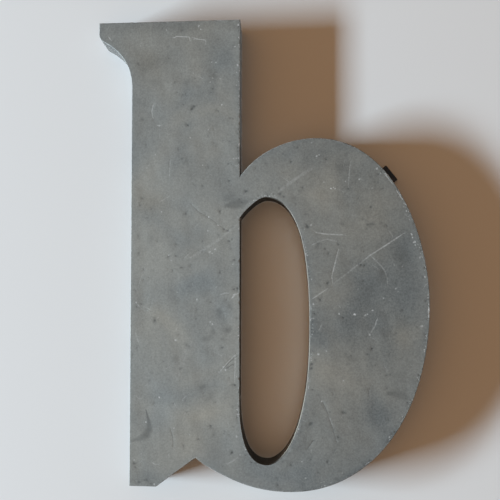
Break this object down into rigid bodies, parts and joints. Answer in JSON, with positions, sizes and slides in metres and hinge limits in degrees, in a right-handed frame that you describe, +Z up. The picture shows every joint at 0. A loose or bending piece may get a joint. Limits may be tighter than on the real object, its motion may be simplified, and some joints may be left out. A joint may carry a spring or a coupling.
{
  "type": "metal sign letter",
  "caption": "Hollow sign letter b made up from weathered zinc sheet, with a flat face, soldered side returns, an open braced back and screw lugs for a wall.",
  "frame": {"origin": "the screw hole of the top lug, in the plane of the wall, from which the letter hangs", "axes": "+Z up along the stem, +X to the right as read, the face looks towards -Y and the wall is the plane y = 0"},
  "size_m": [0.3508, 0.028, 0.512],
  "materials": {
    "zinc_face": "weathered zinc sheet, dull mottled grey with scratches and white flecks",
    "zinc_return": "weathered zinc strip, dull darker grey",
    "zinc_inner": "dull zinc strip, less weathered inside the letter",
    "solder": "dull tin-lead solder, hand run",
    "lug_steel": "blackened strip steel with a little rust"
  },
  "bodies": {
    "root": {"face_plate": "zinc_face", "return_foot": "zinc_return", "return_bowl_lower": "zinc_return", "return_bowl_upper": "zinc_return", "return_stem_right": "zinc_return", "return_top": "zinc_return", "return_serif": "zinc_return", "return_stem_left": "zinc_return", "counter_return_stem": "zinc_return", "counter_return_bowl": "zinc_return", "splice_stem": "zinc_inner", "splice_bowl": "zinc_inner", "splice_counter": "zinc_inner", "seam_foot": "solder", "seam_bowl_lower": "solder", "seam_bowl_upper": "solder", "seam_stem_right": "solder", "seam_top": "solder", "seam_serif": "solder", "seam_stem_left": "solder", "seam_counter_stem": "solder", "seam_counter_bowl": "solder", "corner_solder_foot": "solder", "corner_solder_toe": "solder", "corner_solder_crotch": "solder", "corner_solder_top_right": "solder", "corner_solder_top_left": "solder", "corner_solder_peak": "solder", "brace_stem_upper": "zinc_inner", "brace_stem_middle": "zinc_inner", "brace_foot": "zinc_inner", "brace_bowl_upper": "zinc_inner", "brace_bowl_middle": "zinc_inner", "brace_bowl_lower": "zinc_inner", "solder_brace_stem_upper": "solder", "solder_brace_stem_middle": "solder", "solder_brace_foot": "solder", "solder_brace_bowl_upper": "solder", "solder_brace_bowl_middle": "solder", "solder_brace_bowl_lower": "solder", "lug_top": "lug_steel", "lug_bowl": "lug_steel", "solder_lug_top": "solder", "solder_lug_bowl": "solder"}
  },
  "joints": []
}
